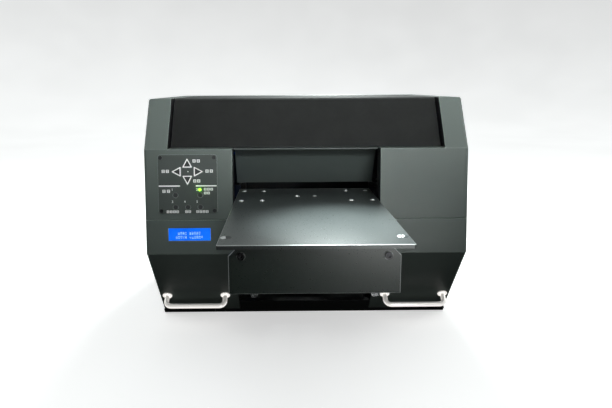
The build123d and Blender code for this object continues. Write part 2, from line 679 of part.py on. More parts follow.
with BuildPart() as bed_plate:
    block((-bed_half, bed_half), (bed_front, bed_rear), (bed_underside, bed_top))
    fillet(bed_plate.edges().filter_by(Axis.Z), 2)
    chamfer(bed_plate.faces().sort_by(Axis.Z)[-1].edges(), 0.5)
    with Locations(Plane.XY.offset(bed_top)):
        with Locations(*small_spots):
            CounterSinkHole(small_shank + sink_clearance, small_head + 0.35, counter_sink_angle=90)
        with Locations(*corner_spots):
            CounterSinkHole(corner_shank + sink_clearance, corner_sink, counter_sink_angle=90)
save(bed_plate, "bed_plate")


def sunk_screws(spots, head, shank, drop, drive):
    """Countersunk screws with hexagon sockets, their heads drop below the bed's face."""
    head_z = bed_top - drop
    with Locations(*[(x, y, head_z) for x, y in spots]):
        Cone(shank, head, head - shank, align=(Align.CENTER, Align.CENTER, Align.MAX))
        Cylinder(shank, head_z - bed_underside, align=(Align.CENTER, Align.CENTER, Align.MAX))
    with BuildSketch(Plane.XY.offset(head_z)) as sockets:
        with Locations(*spots):
            RegularPolygon(drive, 6)
    extrude(sockets.sketch, amount=-(head - shank), mode=Mode.SUBTRACT)


with BuildPart() as bed_screws:
    sunk_screws(small_spots, small_head, small_shank, 0.2, 1.3)
    with Locations(*[(x, y, bed_top - 0.2) for x, y in small_spots]):
        Cone(small_head, 0.55 * small_head, small_dome, align=(Align.CENTER, Align.CENTER, Align.MIN))
        Cylinder(1.1, 2 * small_dome, mode=Mode.SUBTRACT)
save(bed_screws, "bed_screws")

plate_y = (-323.0, -320.0)
plate_z = (160.0, bed_underside)
cap_spots = [(x, 206.0) for x in (-85.0, 85.0)]
with BuildPart() as bed_black_screws:
    sunk_screws(corner_spots, corner_head, corner_shank, corner_drop, 2.2)
    for x, z in cap_spots:
        bar((x, plate_y[0] - 3.2, z), (0, 1, 0), 4.4, 3.1)
        bar((x, plate_y[0] - 4, z), (0, 1, 0), 2.2, 2.8, Mode.SUBTRACT)
        bar((x, plate_y[0] - 1.2, z), (0, 1, 0), 2.0, 16)
save(bed_black_screws, "bed_black_screws")

with BuildPart() as bed_side_bars:
    for side in (-1, 1):
        web = sorted((side * web_x[0], side * web_x[1]))
        foot = sorted((side * 64.0, side * web_x[1]))
        block(web, (plate_y[1], bed_rear - 1), (rail_z[1], bed_underside))
        block(foot, (plate_y[1], bed_rear - 1), (rail_z[1], rail_z[1] + 6))
        bar((side * cap_spots[1][0], plate_y[1] - 1, cap_spots[1][1]), (0, 1, 0), 2.05, 16, Mode.SUBTRACT)
    block((-web_x[0], web_x[0]), (-27, -17), (186, bed_underside))
    belt_top = bed_pulley_z + belt_pulley_radius + belt_gap + belt_thickness
    block((-8, 8), (-27, -17), (belt_top + 0.6, 186))
save(bed_side_bars, "bed_side_bars")

with BuildPart() as front_plate:
    block((-100, 100), plate_y, plate_z)
    chamfer(front_plate.edges().filter_by(Axis.Y).group_by(Axis.Z)[-1], 16)
    chamfer(front_plate.faces().sort_by(Axis.Y)[0].edges(), 0.7)
    for x, z in cap_spots:
        bar((x, plate_y[0] - 1, z), (0, 1, 0), 2.05, 6, Mode.SUBTRACT)
save(front_plate, "front_plate")

with BuildPart() as bed_rails:
    for side in (-rail_x, rail_x):
        block((side - rail_width / 2, side + rail_width / 2), rail_y, rail_z)
    fillet(bed_rails.edges().filter_by(Axis.Y).group_by(Axis.Z)[0], 3)
save(bed_rails, "bed_rails")
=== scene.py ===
"""Looks of the desktop flatbed UV printer: materials, printed marks, small details, light and camera."""

from math import atan2, cos, pi, radians, sin

import bmesh
import bpy
from mathutils import Matrix, Vector


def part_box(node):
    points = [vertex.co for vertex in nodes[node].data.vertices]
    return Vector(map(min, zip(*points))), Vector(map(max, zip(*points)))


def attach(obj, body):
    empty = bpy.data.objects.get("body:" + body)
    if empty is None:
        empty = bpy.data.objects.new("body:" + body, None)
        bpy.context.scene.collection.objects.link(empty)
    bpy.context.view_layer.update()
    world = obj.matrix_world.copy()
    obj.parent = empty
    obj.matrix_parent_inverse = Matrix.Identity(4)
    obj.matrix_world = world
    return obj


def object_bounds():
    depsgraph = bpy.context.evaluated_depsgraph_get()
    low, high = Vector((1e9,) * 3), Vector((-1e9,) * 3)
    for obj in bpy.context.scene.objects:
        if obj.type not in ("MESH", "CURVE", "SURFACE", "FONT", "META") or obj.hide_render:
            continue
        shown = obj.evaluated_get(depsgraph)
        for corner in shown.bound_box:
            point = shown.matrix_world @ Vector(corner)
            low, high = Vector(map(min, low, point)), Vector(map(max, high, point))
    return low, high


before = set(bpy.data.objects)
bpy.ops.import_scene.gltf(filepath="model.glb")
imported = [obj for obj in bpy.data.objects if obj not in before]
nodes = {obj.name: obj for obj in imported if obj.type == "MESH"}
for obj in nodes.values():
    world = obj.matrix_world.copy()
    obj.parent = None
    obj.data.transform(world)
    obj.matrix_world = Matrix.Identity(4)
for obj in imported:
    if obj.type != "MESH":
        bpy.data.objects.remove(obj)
cad_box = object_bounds()
MM = 0.001

# ---------------------------------------------------------------- driving values
LEAN = atan2(15.6, 155.0)  # the front face leans back by this much
PANEL_LO, PANEL_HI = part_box("control_plate")
PANEL_UP = Vector((0, sin(LEAN), cos(LEAN)))
PANEL_OUT = Vector((0, -cos(LEAN), sin(LEAN)))
PANEL_MID = (PANEL_LO + PANEL_HI) / 2 + PANEL_OUT * 1.0 * MM
KEY_CROSS_V = 19.4 * MM
KEY_HALF, KEY_HEIGHT = 7.8 * MM, 14.6 * MM
ARROWS = {"key_up": (0, 6.2 * MM), "key_left": (90, 10 * MM), "key_down": (180, 6.2 * MM),
          "key_right": (270, 10 * MM)}
KEY_PROUD = 1.4 * MM
BUTTONS = ((-19, -16.7), (19, -16.7), (-19, -35.4), (0, -35.4), (19, -35.4))
BED_LO, BED_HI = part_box("bed_plate")
BED_RIM = 1.0 * MM  # the bed's edge chamfer lies within this much of its sides
LCD_LO, LCD_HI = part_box("display_module")
EDGE_HIGHLIGHT_WIDTH, EDGE_HIGHLIGHT_GAIN = 1.6 * MM, 7.0  # the painted highlight along sharp edges: its width and how much lighter it is
CHAMFER = (0.3, 0.9)  # a face is slanted when the share of its normal lies between these
FLAT = 0.7  # and square to an axis when the share is above this


# ---------------------------------------------------------------- material building
class Shader:
    """A Principled material with short calls for the nodes that every finish shares."""

    def __init__(self, name, rough=0.5, metal=0.0, specular=0.5):
        self.material = bpy.data.materials.new(name)
        self.material.use_nodes = True
        self.tree = self.material.node_tree
        self.bsdf = self.tree.nodes["Principled BSDF"]
        self.bsdf.inputs["Roughness"].default_value = rough
        self.bsdf.inputs["Metallic"].default_value = metal
        self.bsdf.inputs["Specular IOR Level"].default_value = specular
        self.place = self.add("ShaderNodeTexCoord").outputs["Object"]

    def add(self, kind, **values):
        node = self.tree.nodes.new(kind)
        for key, value in values.items():
            setattr(node, key, value)
        return node

    def link(self, source, target):
        self.tree.links.new(source, target)

    def stretched(self, scale):
        """Object coordinates multiplied per axis, for grain that runs one way."""
        mapping = self.add("ShaderNodeMapping")
        mapping.inputs["Scale"].default_value = scale
        self.link(self.place, mapping.inputs["Vector"])
        return mapping.outputs["Vector"]

    def noise(self, scale, detail=3.0, place=None):
        texture = self.add("ShaderNodeTexNoise")
        texture.inputs["Scale"].default_value = scale
        texture.inputs["Detail"].default_value = detail
        self.link(place or self.place, texture.inputs["Vector"])
        return texture.outputs["Fac"]

    def ramp(self, value, stops):
        """Colour ramp through (position, colour) stops."""
        stops = tuple(stops)
        ramp = self.add("ShaderNodeValToRGB")
        while len(ramp.color_ramp.elements) < len(stops):
            ramp.color_ramp.elements.new(0.5)
        for element, (position, colour) in zip(ramp.color_ramp.elements, stops):
            element.position = position
            element.color = (*colour, 1.0)
        self.link(value, ramp.inputs["Fac"])
        return ramp.outputs["Color"]

    def spread(self, value, low, high):
        """Value from 0.3..0.7 noise mapped onto low..high."""
        span = self.add("ShaderNodeMapRange")
        span.inputs["From Min"].default_value = 0.3
        span.inputs["From Max"].default_value = 0.7
        span.inputs["To Min"].default_value = low
        span.inputs["To Max"].default_value = high
        self.link(value, span.inputs["Value"])
        return span.outputs["Result"]

    def calc(self, operation, *values):
        """Math node on sockets and plain numbers."""
        node = self.add("ShaderNodeMath", operation=operation)
        for index, value in enumerate(values):
            if isinstance(value, (int, float)):
                node.inputs[index].default_value = value
            else:
                self.link(value, node.inputs[index])
        return node.outputs[0]

    def mix(self, factor, first, second):
        """Blend of two colour sockets."""
        blend = self.add("ShaderNodeMix", data_type="RGBA")
        self.link(factor, blend.inputs["Factor"])
        self.link(first, blend.inputs[6])
        self.link(second, blend.inputs[7])
        return blend.outputs[2]

    def split(self, vector):
        """X, Y and Z outputs of a vector socket."""
        parts = self.add("ShaderNodeSeparateXYZ")
        self.link(vector, parts.inputs["Vector"])
        return parts.outputs

    def facing(self):
        """X, Y and Z outputs of the object's own normal."""
        return self.split(self.add("ShaderNodeTexCoord").outputs["Normal"])

    def near_edge(self):
        """Rises from 0 to 1 close to a sharp edge that does not look down, where a painted highlight stands
        in for the light such an edge catches.
        """
        lowest = -0.15  # a normal whose Z is below this looks down
        bevel = self.add("ShaderNodeBevel", samples=6)
        bevel.inputs["Radius"].default_value = EDGE_HIGHLIGHT_WIDTH
        turn = self.add("ShaderNodeVectorMath", operation="DOT_PRODUCT")
        self.link(bevel.outputs["Normal"], turn.inputs[0])
        self.link(self.add("ShaderNodeNewGeometry").outputs["Normal"], turn.inputs[1])
        upward = self.calc("GREATER_THAN", self.split(bevel.outputs["Normal"])["Z"], lowest)
        turned = self.calc("SUBTRACT", 1.0, turn.outputs["Value"])
        edge_highlight = self.calc("MULTIPLY", self.calc("MULTIPLY", EDGE_HIGHLIGHT_GAIN, upward), turned)
        return self.calc("MINIMUM", 1.0, edge_highlight)

    def rimmed(self, cloud, spread, dark, light, edge_highlight):
        """Paint between dark and light, with a painted highlight along sharp edges that makes it lighter by
        the given factor.
        """
        body = self.ramp(cloud, zip(spread, (dark, light)))
        # painted highlight: a lighter copy of the paint, laid along sharp edges that do not look down
        edge_lit = self.ramp(cloud, zip(spread, ([c * edge_highlight for c in dark], [c * edge_highlight for c in light])))
        return self.mix(self.near_edge(), body, edge_lit)

    def inner_wall(self, reach):
        """1 on faces square to X that lie nearer the middle of the printer than reach."""
        square = self.calc("GREATER_THAN", self.calc("ABSOLUTE", self.facing()["X"]), FLAT)
        near = self.calc("LESS_THAN", self.calc("ABSOLUTE", self.split(self.place)["X"]), reach)
        return self.calc("MULTIPLY", square, near)

    def colour(self, socket):
        self.link(socket, self.bsdf.inputs["Base Color"])

    def roughness(self, socket):
        self.link(socket, self.bsdf.inputs["Roughness"])

    def bump(self, height, strength, distance, edge=0.0):
        """Bump from a height, on edges rounded by the given radius."""
        bump = self.add("ShaderNodeBump")
        bump.inputs["Strength"].default_value = strength
        bump.inputs["Distance"].default_value = distance
        self.link(height, bump.inputs["Height"])
        if edge:
            bevel = self.add("ShaderNodeBevel", samples=4)
            bevel.inputs["Radius"].default_value = edge
            self.link(bevel.outputs["Normal"], bump.inputs["Normal"])
        self.link(bump.outputs["Normal"], self.bsdf.inputs["Normal"])


def powder_coat(name, dark, light, rough, edge=0.8 * MM, grain=0.35, edge_highlight=1.5, shade_within=0.0):
    """Fine-textured baked paint on sheet metal, with a painted highlight along sharp edges, lighter by the
    given factor.

    Walls square to X that lie nearer the middle of the printer than the given distance get painted shade,
    near black.
    """
    s = Shader(name, rough)
    cloud = s.noise(9, 4)
    tone = s.rimmed(cloud, (0.32, 0.68), dark, light, edge_highlight)
    if shade_within:
        # painted shade: near-black paint on the inner walls, which lie in shade
        black = s.ramp(cloud, ((0.32, (0.004, 0.004, 0.005)), (0.68, (0.007, 0.007, 0.008))))
        tone = s.mix(s.inner_wall(shade_within), tone, black)
    s.colour(tone)
    s.roughness(s.spread(s.noise(60, 3), rough - 0.05, rough + 0.06))
    s.bump(s.noise(1500, 2), grain, 0.12 * MM, edge)
    return s.material


def moulded(name, dark, light, rough, grain_scale=900, grain=0.25, edge=0.4 * MM, specular=0.5, edge_highlight=1.5):
    """Moulded plastic with a spark-eroded grain, and a painted highlight along sharp edges, lighter by the
    given factor.
    """
    s = Shader(name, rough, specular=specular)
    s.colour(s.rimmed(s.noise(25, 4), (0.35, 0.65), dark, light, edge_highlight))
    s.roughness(s.spread(s.noise(140, 2), rough - 0.05, rough + 0.05))
    s.bump(s.noise(grain_scale, 2), grain, 0.08 * MM, edge)
    return s.material


def brushed(name, dark, light, rough, along, edge=0.3 * MM, metal=1.0):
    """Metal with a grain that runs along one axis."""
    s = Shader(name, rough, metal)
    scale = [900.0, 900.0, 900.0]
    scale["XYZ".index(along)] = 12.0
    grain = s.noise(1.0, 3, s.stretched(scale))
    s.colour(s.ramp(grain, ((0.3, dark), (0.7, light))))
    s.roughness(s.spread(grain, rough - 0.08, rough + 0.1))
    s.bump(grain, 0.12, 0.04 * MM, edge)
    return s.material


def anodised(name, dark, light, rough, cut, edge=0.3 * MM):
    """Black-dyed anodised aluminium with bright machine-cut chamfers.

    Chamfers are told from flats by the share of their normal along the axis named in cut. On the bed, whose
    chamfers are cut along Z, the walls of the sunk holes are bright only where they look to the right,
    towards the lamps; the others get painted shade in the dark tint.
    """
    s = Shader(name, rough, 0.0, specular=0.8)
    calc, facing = s.calc, s.facing()
    share = calc("ABSOLUTE", facing[cut])
    chamfer = calc("MULTIPLY", calc("GREATER_THAN", share, CHAMFER[0]), calc("LESS_THAN", share, CHAMFER[1]))
    tint = s.ramp(s.noise(14, 5), ((0.3, dark), (0.7, light)))
    bright = s.ramp(s.noise(300, 2), ((0.3, (0.46, 0.48, 0.48)), (0.7, (0.58, 0.6, 0.6))))
    tone = s.mix(chamfer, tint, bright)
    if cut == "Z":
        lean_right, cone = 0.15, 0.65  # least X of a lit wall's normal, and least Z of a cone wall's
        at = s.split(s.place)
        inboard = calc("MULTIPLY", calc("LESS_THAN", calc("ABSOLUTE", at["X"]), BED_HI.x - BED_RIM),
                       calc("GREATER_THAN", at["Y"], BED_LO.y + BED_RIM))
        # painted shade on the cone walls of the sunk holes that do not look right, towards the lamps
        shaded = calc("MULTIPLY", calc("LESS_THAN", facing["X"], lean_right),
                      calc("GREATER_THAN", share, cone))
        tone = s.mix(calc("MULTIPLY", shaded, inboard), tone, tint)
    s.colour(tone)
    fine = s.noise(1.0, 3, s.stretched((700.0, 250.0, 700.0)))
    s.roughness(s.spread(fine, rough - 0.03, rough + 0.03))
    s.bump(s.noise(1800, 3), 0.02, 0.03 * MM, edge)
    return s.material


def chrome(name):
    """Bright plating with a white haze and tiny pits.

    The floor is hidden from reflections, so the light it would give the plating is added to the faces
    that look down on it.
    """
    s = Shader(name, 0.12, 0.45)
    s.colour(s.ramp(s.noise(40, 3), ((0.3, (0.9, 0.88, 0.85)), (0.7, (0.97, 0.96, 0.94)))))
    s.roughness(s.spread(s.noise(220, 4), 0.08, 0.18))
    s.bump(s.noise(500, 2), 0.05, 0.02 * MM)
    floor = s.calc("MULTIPLY_ADD", s.facing()["Z"], -0.5, 0.5)
    stops = ((0.0, (0.1, 0.1, 0.1)), (0.35, (0.5, 0.47, 0.44)), (0.55, (1.0, 0.98, 0.96)),
             (1.0, (0.8, 0.75, 0.7)))
    s.link(s.ramp(floor, stops), s.bsdf.inputs["Emission Color"])
    s.bsdf.inputs["Emission Strength"].default_value = 0.95
    return s.material


def rubber(name):
    """Dull black rubber."""
    s = Shader(name, 0.8)
    s.colour(s.ramp(s.noise(80, 4), ((0.3, (0.012, 0.012, 0.012)), (0.7, (0.03, 0.03, 0.03)))))
    s.roughness(s.spread(s.noise(200, 2), 0.7, 0.9))
    s.bump(s.noise(1200, 2), 0.3, 0.1 * MM)
    return s.material


def ink_print(name, tint):
    """Screen-printed ink, slightly uneven."""
    s = Shader(name, 0.45)
    worn = tuple(c * 0.9 for c in tint)
    s.colour(s.ramp(s.noise(700, 3), ((0.3, worn), (0.6, tint))))
    s.roughness(s.spread(s.noise(400, 2), 0.38, 0.55))
    return s.material


def lit_lamp(name):
    """Green lamp, brightest in the middle of its lens."""
    s = Shader(name, 0.2)
    glow = s.ramp(s.noise(900, 1), ((0.2, (0.2, 0.9, 0.02)), (0.8, (0.5, 1.0, 0.06))))
    s.colour(glow)
    s.link(glow, s.bsdf.inputs["Emission Color"])
    s.bsdf.inputs["Emission Strength"].default_value = 2.2
    return s.material


def circuit_board(name):
    """Solder mask with lighter copper runs under it."""
    s = Shader(name, 0.35)
    run = s.add("ShaderNodeTexBrick")
    run.inputs["Scale"].default_value = 90
    run.inputs["Mortar Size"].default_value = 0.03
    run.inputs["Color1"].default_value = (0.005, 0.06, 0.025, 1)
    run.inputs["Color2"].default_value = (0.008, 0.09, 0.035, 1)
    run.inputs["Mortar"].default_value = (0.03, 0.2, 0.07, 1)
    s.link(s.place, run.inputs["Vector"])
    s.colour(run.outputs["Color"])
    s.roughness(s.spread(s.noise(300, 2), 0.28, 0.42))
    s.bump(run.outputs["Fac"], 0.1, 0.05 * MM)
    return s.material


def display_glass(name):
    """Backlit blue character display: two rows of cells, some filled with a meaningless dot pattern."""
    s = Shader(name, 0.12)
    calc, at = s.calc, s.split(s.place)
    columns, rows, dots_x, dots_y = 16, 2, 5, 7
    cell_w, cell_h = 3.55 * MM, 6.2 * MM
    glyph_w, glyph_h = 0.78, 0.72  # share of a cell that its dots fill
    middle = (LCD_LO + LCD_HI) / 2
    u = calc("DIVIDE", calc("SUBTRACT", at["X"], middle.x - columns / 2 * cell_w), cell_w)
    v = calc("DIVIDE", calc("SUBTRACT", at["Z"], middle.z - rows / 2 * cell_h), cell_h)
    column, row = calc("FLOOR", u), calc("FLOOR", v)
    in_cell = calc("MULTIPLY", calc("LESS_THAN", calc("FRACT", u), glyph_w),
                   calc("LESS_THAN", calc("FRACT", v), glyph_h))
    in_row = calc("MULTIPLY", calc("GREATER_THAN", row, -0.5), calc("LESS_THAN", row, rows - 0.5))
    margin = calc("ADD", row, 1.5)
    in_column = calc("MULTIPLY", calc("GREATER_THAN", column, margin),
                     calc("LESS_THAN", column, calc("SUBTRACT", columns - 1.0, margin)))
    word_gap = calc("GREATER_THAN", calc("ABSOLUTE", calc("SUBTRACT", column, 7.0)), 0.5)
    dot_u = calc("FLOOR", calc("MULTIPLY", calc("DIVIDE", calc("FRACT", u), glyph_w), dots_x))
    dot_v = calc("FLOOR", calc("MULTIPLY", calc("DIVIDE", calc("FRACT", v), glyph_h), dots_y))
    mirrored = calc("ABSOLUTE", calc("SUBTRACT", dot_u, 2.0))
    cell_key = s.add("ShaderNodeCombineXYZ")
    s.link(calc("MULTIPLY_ADD", column, 7.0, mirrored), cell_key.inputs["X"])
    s.link(calc("MULTIPLY_ADD", row, 11.0, dot_v), cell_key.inputs["Y"])
    chance = s.add("ShaderNodeTexWhiteNoise", noise_dimensions="3D")
    s.link(cell_key.outputs["Vector"], chance.inputs["Vector"])
    dot = calc("GREATER_THAN", chance.outputs["Value"], 0.42)
    lit = calc("MULTIPLY", calc("MULTIPLY", dot, in_cell), calc("MULTIPLY", in_row, in_column))
    lit = calc("MULTIPLY", lit, word_gap)
    backlight = s.ramp(s.noise(60, 2), ((0.3, (0.0, 0.12, 0.85)), (0.7, (0.005, 0.17, 1.0))))
    lit_dots = s.ramp(s.noise(500, 2), ((0.3, (0.22, 0.5, 1.0)), (0.7, (0.35, 0.65, 1.0))))
    glow = s.mix(lit, backlight, lit_dots)
    s.link(glow, s.bsdf.inputs["Emission Color"])
    s.bsdf.inputs["Emission Strength"].default_value = 1.0
    s.bsdf.inputs["Base Color"].default_value = (0.01, 0.04, 0.12, 1)
    return s.material


# ---------------------------------------------------------------- the finishes
# The factors for sharp edges give a painted highlight; the casing's inner walls get painted shade.
finish = {
    "casing": powder_coat("casing_powder_coat", (0.082, 0.1, 0.092), (0.092, 0.112, 0.103), 0.42, edge_highlight=3.2,
                          shade_within=213.6 * MM),
    "cover": moulded("cover_matte_black", (0.0095, 0.0102, 0.0099), (0.0125, 0.0132, 0.0129), 0.66, 700,
                     0.3, 1.0 * MM, 0.15, edge_highlight=5.0),
    "tray": powder_coat("tray_black", (0.011, 0.012, 0.012), (0.016, 0.017, 0.017), 0.42),
    # painted shade: the mouth panel takes the casing's grey made darker, for the shade of the recess it sits
    # in
    "panel": powder_coat("mouth_panel_grey_painted_shade", (0.052, 0.064, 0.061), (0.064, 0.076, 0.073), 0.4),
    "plate": moulded("control_plate_satin", (0.05, 0.06, 0.056), (0.06, 0.071, 0.067), 0.4, 1100, 0.18,
                     edge_highlight=4.0),
    "key": moulded("key_black", (0.022, 0.024, 0.026), (0.032, 0.034, 0.036), 0.42),
    "bed": anodised("bed_anodised", (0.028, 0.033, 0.033), (0.034, 0.04, 0.04), 0.3, "Z"),
    "front_plate": anodised("front_plate_anodised", (0.014, 0.023, 0.019), (0.021, 0.031, 0.026), 0.3, "Y"),
    "chrome": chrome("handle_chrome"),
    "rubber": rubber("black_rubber"),
    "screw_bright": brushed("screw_bright", (0.8, 0.82, 0.82), (0.93, 0.94, 0.94), 0.35, "Z", metal=0.35),
    "screw_black": brushed("screw_black", (0.03, 0.03, 0.032), (0.07, 0.07, 0.074), 0.35, "Z"),
    "ring_steel": brushed("ring_steel", (0.2, 0.21, 0.21), (0.3, 0.31, 0.31), 0.4, "Y"),
    "steel": brushed("ground_steel", (0.48, 0.49, 0.5), (0.66, 0.67, 0.69), 0.26, "Y"),
    "rod": brushed("guide_rod_steel", (0.6, 0.61, 0.63), (0.75, 0.76, 0.78), 0.16, "X"),
    "aluminium": brushed("machined_aluminium", (0.5, 0.51, 0.52), (0.64, 0.65, 0.66), 0.34, "Y"),
    "frame": powder_coat("frame_black_paint", (0.03, 0.03, 0.032), (0.045, 0.045, 0.048), 0.4),
    "motor": powder_coat("motor_black", (0.02, 0.02, 0.021), (0.032, 0.032, 0.034), 0.38),
    "carriage": moulded("carriage_plastic", (0.022, 0.023, 0.026), (0.036, 0.037, 0.04), 0.48),
    "bottle": moulded("bottle_plastic", (0.03, 0.03, 0.032), (0.05, 0.05, 0.053), 0.4),
    "board": circuit_board("main_board_mask"),
    "zinc": brushed("zinc_plate", (0.42, 0.43, 0.42), (0.58, 0.59, 0.57), 0.38, "X"),
    "socket": moulded("socket_plastic", (0.014, 0.014, 0.015), (0.024, 0.024, 0.026), 0.4),
    "fan": moulded("fan_plastic", (0.016, 0.016, 0.018), (0.028, 0.028, 0.03), 0.38),
    "lamp": lit_lamp("status_lamp"),
    "display": display_glass("display_glass"),
    "print": ink_print("white_legend_ink", (0.97, 0.98, 0.97)),
}

PAINT = {
    "casing": ("lower_casing_left", "lower_casing_right", "upper_casing_left", "upper_casing_right",
               "rear_top_casing"),
    "cover": ("top_cover",),
    "tray": ("base_tray", "rear_panel"),
    "panel": ("mouth_panel",),
    "plate": ("control_plate",),
    "key": (*ARROWS, *[f"button_{n}" for n in range(1, 6)]),
    "bed": ("bed_plate",),
    "front_plate": ("front_plate",),
    "chrome": ("handle_left", "handle_right", "handle_washers"),
    "rubber": ("rubber_feet", "head_belt", "bed_belt"),
    "screw_bright": ("bed_screws",),
    "screw_black": ("panel_screws", "bed_black_screws"),
    "steel": ("cover_hinges", "lift_posts", "bearing_blocks", "bed_rails", "lift_screw", "print_head"),
    "rod": ("head_guide_rod",),
    "aluminium": ("bed_side_bars", "bed_drive_pulley", "bed_idler_pulley", "uv_lamp", "head_drive_pulley",
                  "head_idler_pulley"),
    "frame": ("gantry_frame", "lift_frame", "ink_rack"),
    "motor": ("head_motor", "lift_motor", "bed_motor"),
    "carriage": ("head_carriage", "capping_station"),
    "bottle": ("ink_bottles",),
    "board": ("main_board",),
    "zinc": ("power_supply",),
    "socket": ("inlet_module", "power_rocker"),
    "fan": ("fan_frame", "fan_rotor"),
    "lamp": ("status_led",),
    "display": ("display_module",),
}

for name, members in PAINT.items():
    for member in members:
        mesh = nodes[member].data
        mesh.materials.clear()
        mesh.materials.append(finish[name])


# ---------------------------------------------------------------- mesh helpers
def panel_matrix(u, v, lift, turn=0.0):
    """Frame on the control plate at (u, v) from its centre, raised by lift and turned in its plane."""
    matrix = Matrix((Vector((1, 0, 0)), PANEL_UP, PANEL_OUT)).transposed().to_4x4()
    matrix.translation = PANEL_MID + Vector((u, 0, 0)) + PANEL_UP * v + PANEL_OUT * lift
    return matrix @ Matrix.Rotation(turn, 4, "Z")


def piece(name, mesh, body, paint, smooth=False):
    """Put a finished mesh in the scene, painted and riding on its body."""
    obj = bpy.data.objects.new(name, mesh)
    bpy.context.scene.collection.objects.link(obj)
    mesh.materials.append(finish[paint])
    for polygon in mesh.polygons:
        polygon.use_smooth = smooth
    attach(obj, body)
    return obj


def rounded_outline(corners, radius, steps=5):
    """Corners of a convex outline, given anticlockwise, each replaced by an arc."""
    points = []
    count = len(corners)
    for index, corner in enumerate(corners):
        before = (corners[index - 1] - corner).normalized()
        after = (corners[(index + 1) % count] - corner).normalized()
        half = before.angle(after) / 2
        centre = corner + (before + after).normalized() * radius / sin(half)
        start = corner + before * radius / (sin(half) / cos(half)) - centre
        sweep = pi - 2 * half
        for step in range(steps + 1):
            angle = sweep * step / steps
            points.append(centre + Vector((start.x * cos(angle) - start.y * sin(angle),
                                           start.x * sin(angle) + start.y * cos(angle))))
    return points


def plate_mesh(name, outlines, matrix, thickness):
    """Flat raised shapes, one for each outline, standing on the plane of matrix."""
    bm = bmesh.new()
    for outline in outlines:
        top = [bm.verts.new(matrix @ Vector((p.x, p.y, thickness))) for p in outline]
        low = [bm.verts.new(matrix @ Vector((p.x, p.y, 0))) for p in outline]
        bm.faces.new(top)
        for i in range(len(top)):
            j = (i + 1) % len(top)
            bm.faces.new((low[i], low[j], top[j], top[i]))
    mesh = bpy.data.meshes.new(name)
    bm.to_mesh(mesh)
    bm.free()
    return mesh


def ring_mesh(name, outer, inner, matrix, thickness):
    """Flat raised band between two outlines with the same number of points."""
    bm = bmesh.new()
    rows = []
    for outline, height in ((outer, 0), (outer, thickness), (inner, thickness), (inner, 0)):
        rows.append([bm.verts.new(matrix @ Vector((p.x, p.y, height))) for p in outline])
    count = len(outer)
    for a, b in zip(rows, rows[1:]):
        for i in range(count):
            j = (i + 1) % count
            bm.faces.new((a[i], a[j], b[j], b[i]))
    mesh = bpy.data.meshes.new(name)
    bm.to_mesh(mesh)
    bm.free()
    return mesh


def rectangle(u, v, width, height, radius=0.0):
    """Anticlockwise outline of a rectangle round (u, v), with rounded corners if radius is given."""
    signs = ((-1, -1), (1, -1), (1, 1), (-1, 1))
    corners = [Vector((u + sx * width / 2, v + sy * height / 2)) for sx, sy in signs]
    return rounded_outline(corners, radius) if radius else corners


# ---------------------------------------------------------------- printed marks
INK = 0.15 * MM


def arrow_marks():
    """White outline near the edge of each arrow key."""
    outer_share, inner_share = 0.99, 0.66  # of the key's own outline
    for name, (angle, near) in ARROWS.items():
        corners = [Vector((-KEY_HALF, near)), Vector((KEY_HALF, near)), Vector((0, near + KEY_HEIGHT))]
        centre = sum(corners, Vector((0, 0))) / 3
        outer = rounded_outline([centre + (c - centre) * outer_share for c in corners], 0.85 * MM)
        inner = rounded_outline([centre + (c - centre) * inner_share for c in corners], 0.5 * MM)
        matrix = panel_matrix(0, KEY_CROSS_V, KEY_PROUD, radians(angle))
        piece(f"{name}_mark", ring_mesh(f"{name}_mark", outer, inner, matrix, INK), name, "print")


def panel_marks():
    """Two rules and a dot in the middle of the arrow keys."""
    rules, rule_v, rule_height = ((-44.4, -11.6), (12.4, 44.4)), -2.6 * MM, 1.9 * MM
    dot_u, dot_size = 0.8 * MM, 1.6 * MM
    shapes = []
    for start, end in rules:
        middle, length = (start + end) / 2 * MM, (end - start) * MM
        shapes.append(rectangle(middle, rule_v, length, rule_height, 0.8 * MM))
    shapes.append(rectangle(dot_u, KEY_CROSS_V, dot_size, dot_size, 0.7 * MM))
    matrix = panel_matrix(0, 0, 0)
    piece("panel_rules", plate_mesh("panel_rules", shapes, matrix, INK), "chassis", "print")


def tick_mark(u, v, size):
    """Generic mark: an open box with a bar through it."""
    line = size * 0.2
    return [
        rectangle(u, v + size / 2 - line / 2, size, line),
        rectangle(u, v - size / 2 + line / 2, size, line),
        rectangle(u - size / 2 + line / 2, v, line, size - 2 * line),
        rectangle(u + size / 2 - line / 2, v, line, size - 2 * line),
        rectangle(u, v, size - 2 * line, line),
    ]


def legend_marks():
    """Generic marks in place of printed words: pairs by the arrow keys and short rows by the buttons."""
    size = 4.6 * MM
    spots = [(10.5, 35.6), (17, 35.6), (-37, 20), (-30.6, 20), (30, 20), (36.6, 20), (11, 5.0), (17, 5.0),
             (-36.5, -10.6), (-29.6, -10.6)]
    shapes = []
    for u, v in spots:
        shapes += tick_mark(u * MM, v * MM, size)
    small, pitch = 3.9 * MM, 4.9
    rows = ((-31, 4, -42.3), (-2.6, 2, -42.3), (14.5, 4, -42.3), (26.8, 3, -7.8), (26.8, 2, -13.6))
    for first, count, v in rows:
        for index in range(count):
            shapes += tick_mark((first + index * pitch) * MM, v * MM, small)
    mesh = plate_mesh("legend_marks", shapes, panel_matrix(0, 0, 0), INK)
    piece("legend_marks", mesh, "chassis", "print")


def button_numbers():
    """Plain numbers, each up and to the left of its round button."""
    left, up = 6.2, 6.8
    for index, (u, v) in enumerate(BUTTONS, start=1):
        curve = bpy.data.curves.new(f"number_{index}", "FONT")
        curve.body = str(index)
        curve.size = 5.2 * MM
        curve.extrude = INK / 2
        text = bpy.data.objects.new(f"number_{index}_text", curve)
        mesh = bpy.data.meshes.new_from_object(text)
        mesh.name = f"number_{index}"
        mesh.transform(panel_matrix((u - left) * MM, (v + up) * MM, INK / 2))
        bpy.data.objects.remove(text)
        piece(f"number_{index}", mesh, "chassis", "print")


